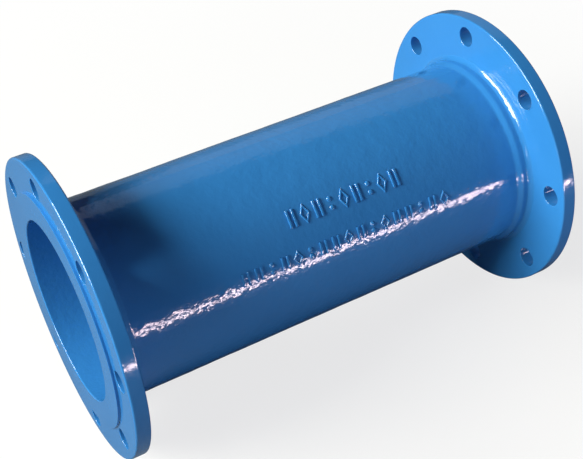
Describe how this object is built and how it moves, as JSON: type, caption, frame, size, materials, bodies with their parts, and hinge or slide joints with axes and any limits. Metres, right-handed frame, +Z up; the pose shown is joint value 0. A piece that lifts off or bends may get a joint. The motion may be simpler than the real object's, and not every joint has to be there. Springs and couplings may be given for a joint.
{
  "type": "double flanged pipe",
  "caption": "Straight cast iron pipe with a drilled round flange at each end and a blue epoxy coat, for bolting into a water main.",
  "frame": {"origin": "middle of the bore, half way between the two raised faces", "axes": "+X along the bore to the right flange, +Z up, with the pipe lying on the rims of its flanges; the first bolt hole is 31.5 degrees from +Y towards +Z"},
  "size_m": [0.55, 0.34, 0.34],
  "materials": {
    "blue_epoxy": "fusion-bonded epoxy, glossy, slightly lumpy over the casting"
  },
  "bodies": {
    "root": {"double_flanged_pipe": "blue_epoxy"}
  },
  "joints": []
}
